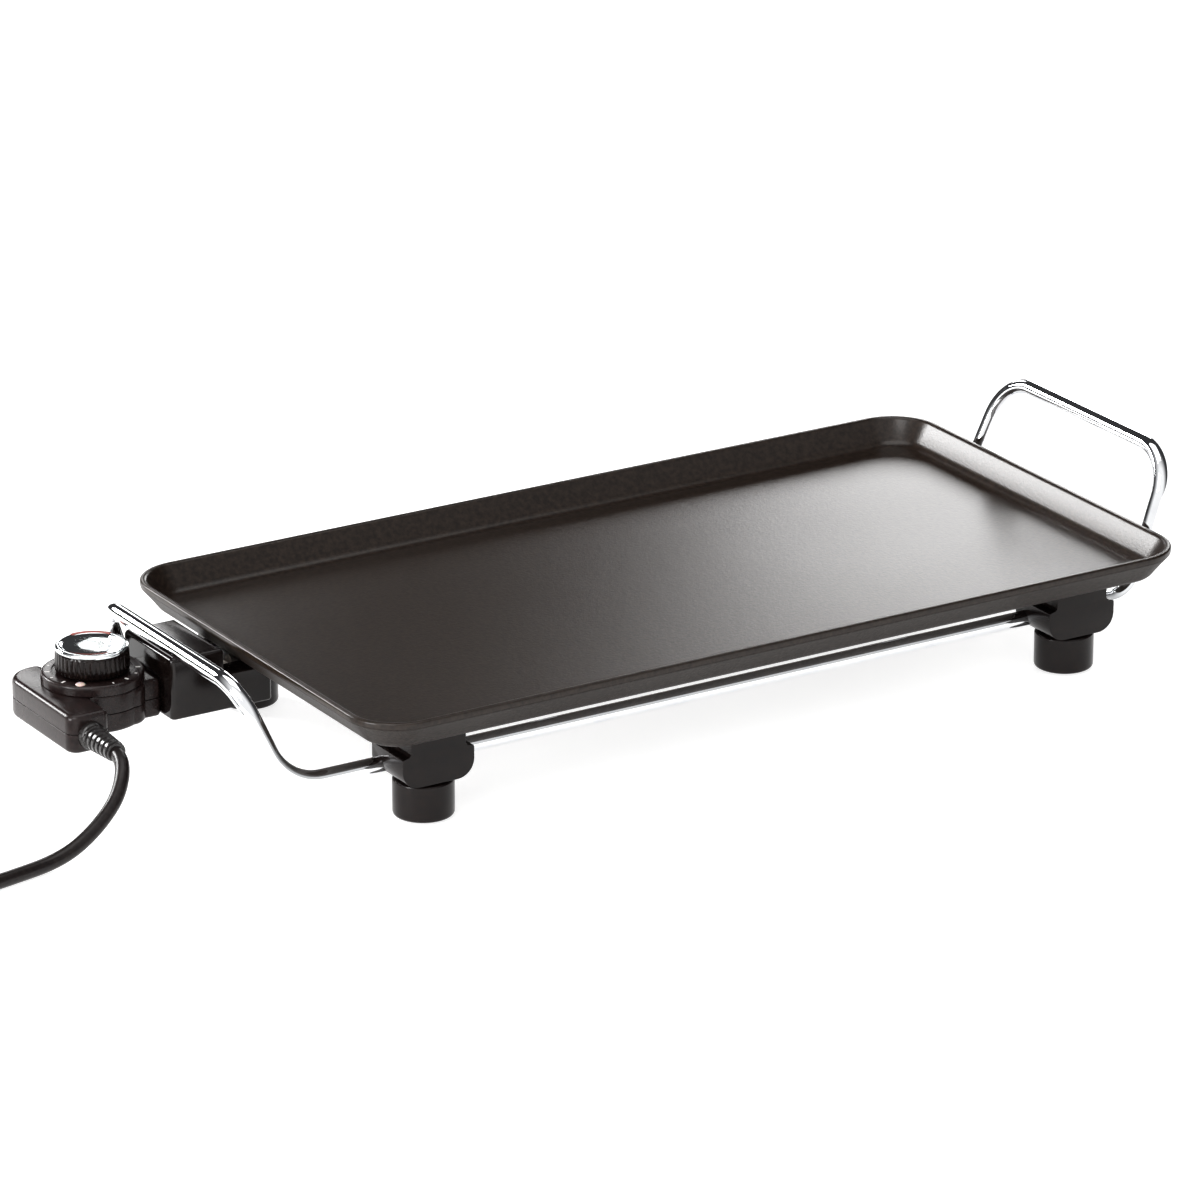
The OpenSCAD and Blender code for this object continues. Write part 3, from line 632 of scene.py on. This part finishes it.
def bore_z(r, x, y, z0, z1):
    return solid(lambda b: turned(b, [(r, z0), (r, z1)], (x, y, 0), (0, 0, 1), 28))


def housing():
    lo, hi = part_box("socket_housing")
    y0, y1 = lo.y / MM, hi.y / MM
    z0, z1 = lo.z / MM, hi.z / MM
    o = solid(lambda b: block(b, -260, -232, y0, y1, z0, z1, (0.6, 2.6, 2.6, 0.6), 1.2, 2.2))
    low = solid(lambda b: block(b, -236, -206, y0 + 0.01, y1 - 0.01, z0 + 0.01, 46.5,
                                (2.2, 0.5, 0.5, 2.2), 1.19, 0.8))
    boolean(o, [low], "UNION")
    mouth = solid(lambda b: block_x(b, -266, -234, 29.5, 57.5, 30.5, 45.5, (2.2,) * 4, 0.1, 0.3))

    def flare(x, g):
        outline = plan(29.5 - g, 57.5 + g, 30.5 - g, 45.5 + g, (2.2 + g,) * 4, 0, 5)
        return [P(x, y, z) for y, z in outline]

    bell = solid(lambda b: loft(b, [flare(x, g) for x, g in ((-262, 1.6), (-260, 1.2), (-258.8, 0.2),
                                                             (-258, 0.0))]))
    cavity = solid(lambda b: block(b, -232, -200, 29.45, 57.55, z0 + 4, 60, (0.4,) * 4, 0.1, 0.1))
    tools = [mouth, bell, cavity, bore_x(3.4, CTRL_Y, -238, -228, 32)]
    for s in (-1, 1):
        tools.append(bore_x(2.06, CTRL_Y + s * PIN_GAP, -238, -228, 28))
        tools.append(bore_z(3.4, HOUSING_SCREW_X, CTRL_Y + s * HOUSING_SCREW_Y, 20, 36.5))
    boolean(o, tools, "DIFFERENCE")
    keep(o, "socket_housing_shell", HOUSE, "griddle", "socket_housing", 35)


housing()


# ---------------------------------------------------------------- controller

HEAD_X0 = -320.5
HEAD_X1 = -300.0
HEAD_Y0 = 4.0
HEAD_Y1 = 75.0


def half_case(name, node, z0, z1, r0, r1, nose0, nose1):
    o = solid(lambda b: block(b, HEAD_X0, HEAD_X1, HEAD_Y0, HEAD_Y1, z0, z1, (4, 15, 6, 3), r0, r1, 8))
    side = edge(z0 + 0.011, z1 - 0.011, max(r0 * 0.9, 0.1), max(r1 * 0.5, 0.1))
    drum = solid(lambda b: turned(b, [(24 - i, z) for i, z in side], (KNOB_X, CTRL_Y, 0), segs=72))
    waist = solid(lambda b: block(b, -304, -268, 22, 64, z0 + 0.017, z1 - 0.017, (9, 2, 2, 9),
                                  max(r0, 0.1), max(r1, 0.1)))
    neck = solid(lambda b: block(b, -290, -260.5, 27, 60, z0 + 0.023, z1 - 0.023, (2.0, 1, 1, 2.0),
                                 max(r0 * 0.9, 0.1), max(r1 * 0.9, 0.1)))
    lower = z0 < 30
    nose = solid(lambda b: block(b, -265, -236, 30, 57, nose0, nose1, (1.6, 0.5, 0.5, 1.6),
                                 0.9 if lower else 0.05, 0.05 if lower else 0.9))
    boolean(o, [drum, waist, neck, nose], "UNION")
    tools = [bore_x(3.22, CTRL_Y + s * PIN_GAP, -262, -230, 32) for s in (-1, 1)]
    tools.append(bore_x(3.06, CTRL_Y, -262, -230, 32))
    if lower:
        tools += [bore_z(2.8, x, y, 27, 29.2) for x, y in ((-310, 61), (-270.5, 32.5), (-270.5, 54.5))]
    boolean(o, tools, "DIFFERENCE")
    keep(o, name, CASE, "controller", node, 32)


half_case("controller_lower_case", "controller_lower_shell", CASE_Z, 37.35, 2.2, 0.25, 31.0, 37.4)
half_case("controller_upper_case", "controller_upper_shell", 37.65, CASE_TOP, 0.25, 2.6, 37.6, 45.0)


def dial_ring():
    bm = bmesh.new()
    prof = [(24.2, CASE_TOP), (24.5, 47.4), (24.5, 50.4)] + bez((24.5, 51.0), (24.3, 52.0), (23.2, 52.2), 5)
    prof += [(19.6, 52.2), (19.2, 51.7), (6, 51.7), (6, CASE_TOP)]
    loft(bm, [circle(KNOB_X, CTRL_Y, r, h, 96) for r, h in prof], closed=True)
    add("dial_ring", bm, CASE, "controller", "dial_collar", 35)


def knob():
    def ribs(a, r, h):
        return r - (0.42 * (0.5 - 0.5 * math.cos(40 * a)) ** 2 if h < 62.2 and r > 15 else 0)

    bm = bmesh.new()
    prof = [(16.6, 52.6), (17.4, 52.8), (17.8, 53.4), (17.8, 57), (17.6, 61.6), (17.3, 62.6), (17.0, 63.0)]
    turned(bm, prof, (KNOB_X, CTRL_Y, 0), (0, 0, 1), 240, ribs)
    add("knob_grip", bm, GLOSS, "dial", "control_knob", 40)
    bm = bmesh.new()
    prof = [(17.1, 62.9), (17.5, 63.2)] + bez((17.6, 63.5), (17.6, 64.9), (16.2, 65.0), 5)
    prof += [(15.2, 65.0), (14.6, 64.7), (13.8, 64.35), (6, 64.3), (0.6, 64.3)]
    turned(bm, prof, (KNOB_X, CTRL_Y, 0), (0, 0, 1), 96)
    add("knob_cap_disc", bm, CAP, "dial", "knob_cap", 30)


def knob_mark():
    bm = bmesh.new()
    section = ((17.3, 64.72), (16.4, 65.14), (14.9, 65.14), (14.9, 64.6))
    loops = []
    for k in range(25):
        a = math.radians(64) - math.radians(36) + math.radians(72) * k / 24
        loops.append([P(KNOB_X + r * math.cos(a), CTRL_Y + r * math.sin(a), z) for r, z in section])
    loft(bm, loops)
    add("knob_mark", bm, RED, "dial", None, 40)


def dial_scale():
    """Long and short ticks in turn; place 6 is left empty."""
    bm = bmesh.new()
    for k in range(11):
        if k == 6:
            continue
        a = math.radians(115 + 22 * k)
        c = math.cos(a)
        s = math.sin(a)
        h, r0, r1 = (0.5, 20.3, 22.6) if k % 2 == 0 else (0.32, 21.0, 22.4)
        ring = [(r0, -h), (r1, -h), (r1, h), (r0, h)]
        loft(bm, [[P(KNOB_X + r * c - w * s, CTRL_Y + r * s + w * c, z) for r, w in ring]
                  for z in (52.15, 52.27)])
    add("dial_scale", bm, PRINT, "controller", None, 40)


def pilot_lamp():
    bm = bmesh.new()
    a = math.radians(-133)
    lens_r = 2.35
    prof = [(lens_r, CASE_TOP), (lens_r, 52.3)]
    for turn in (15, 35, 55, 72, 86):
        prof.append((lens_r * math.cos(math.radians(turn)), 52.3 + 0.85 * math.sin(math.radians(turn))))
    turned(bm, prof, (KNOB_X + 21.2 * math.cos(a), CTRL_Y + 21.2 * math.sin(a), 0), (0, 0, 1), 32)
    add("pilot_lamp_lens", bm, LENS, "controller", "pilot_lens", 40)


dial_ring()
knob()
knob_mark()
dial_scale()
pilot_lamp()


# ---------------------------------------------------------------- pieces that keep their CAD shape

for node, mat, width in (("element_clips", ALU, 0.7), ("probe_sleeve", ALU, 0.6),
                         ("terminal_block", CERAMIC, 0.5), ("thermostat_switch", CERAMIC, 0.5)):
    edged(node, mat, width)
for node, mat in (("heating_element", HEATER), ("terminal_pins", STEEL), ("housing_screws", STEEL),
                  ("bracket_screws", STEEL), ("threaded_inserts", BRASS), ("shell_screws", STEEL),
                  ("temperature_probe", STEEL), ("contact_sockets", BRASS), ("shaft_bush", BRASS),
                  ("knob_shaft", STEEL)):
    o = frame["nodes"][node]
    o.data.materials.clear()
    o.data.materials.append(mat)


# ---------------------------------------------------------------- studio

def studio():
    bm = bmesh.new()
    s = 9.0
    n = 12
    step = 2 * s
    grid = [[bm.verts.new((-s + step * i / n, -s + step * j / n, 0)) for j in range(n + 1)]
            for i in range(n + 1)]
    for i in range(n):
        for j in range(n):
            bm.faces.new((grid[i][j], grid[i + 1][j], grid[i + 1][j + 1], grid[i][j + 1]))
    me = bpy.data.meshes.new("floor")
    bm.to_mesh(me)
    bm.free()
    paint = surface("floor_paint", (0.58, 0.58, 0.575), (0.61, 0.61, 0.605), (0.6, 0.7), grain=30, bump=0.0)
    glow = paint.node_tree.nodes["Principled BSDF"]
    glow.inputs["Emission Color"].default_value = (1, 1, 1, 1)
    glow.inputs["Emission Strength"].default_value = 0.66
    me.materials.append(paint)
    floor = bpy.data.objects.new("floor", me)
    scene.collection.objects.link(floor)

    w = bpy.data.worlds.new("studio")
    scene.world = w
    w.use_nodes = True
    nt = w.node_tree
    bg = nt.nodes["Background"]
    co = nt.nodes.new("ShaderNodeTexCoord")
    facing = nt.nodes.new("ShaderNodeVectorMath")
    facing.operation = "DOT_PRODUCT"
    facing.inputs[1].default_value = (-0.5, -0.8, 0.35)
    span = nt.nodes.new("ShaderNodeMapRange")
    span.inputs["From Min"].default_value = -1.0
    ramp = nt.nodes.new("ShaderNodeValToRGB")
    nt.links.new(co.outputs["Generated"], facing.inputs[0])
    nt.links.new(facing.outputs["Value"], span.inputs["Value"])
    nt.links.new(span.outputs["Result"], ramp.inputs["Fac"])
    nt.links.new(ramp.outputs["Color"], bg.inputs["Color"])
    els = ramp.color_ramp.elements
    els[0].position, els[0].color = 0.50, (0.05, 0.05, 0.052, 1)
    els[1].position, els[1].color = 0.86, (0.92, 0.92, 0.92, 1)
    mid = els.new(0.68)
    mid.color = (0.40, 0.40, 0.405, 1)
    bg.inputs["Strength"].default_value = 1.0

    def area(name, at, aim, size, power):
        d = bpy.data.lights.new(name, "AREA")
        d.shape = "RECTANGLE"
        d.size, d.size_y = size
        d.energy = power
        o = bpy.data.objects.new(name, d)
        scene.collection.objects.link(o)
        o.location = at
        o.rotation_euler = (Vector(aim) - Vector(at)).to_track_quat("-Z", "Y").to_euler()

    area("key", (-1.6, -1.2, 1.9), (0, 0, 0), (1.2, 1.2), 18)
    area("top", (0.1, 0.3, 2.4), (0, 0, 0), (2.2, 1.6), 20)
    area("left", (-1.9, -0.25, 0.42), (-0.1, 0, 0.04), (0.45, 0.7), 18)
    area("sheen", (2.15, 2.3, 1.02), (0.1, 0, 0.05), (0.95, 0.75), 15)
    area("gleam", (0.66, 2.2, 0.95), (-0.25, 0, 0.05), (0.30, 0.8), 3.2)
    area("end_wall", (-1.3, 2.1, 1.05), (0.2, 0, 0.05), (0.9, 0.7), 50)


studio()
scene.view_settings.view_transform = "Standard"
scene.view_settings.look = "Medium High Contrast"
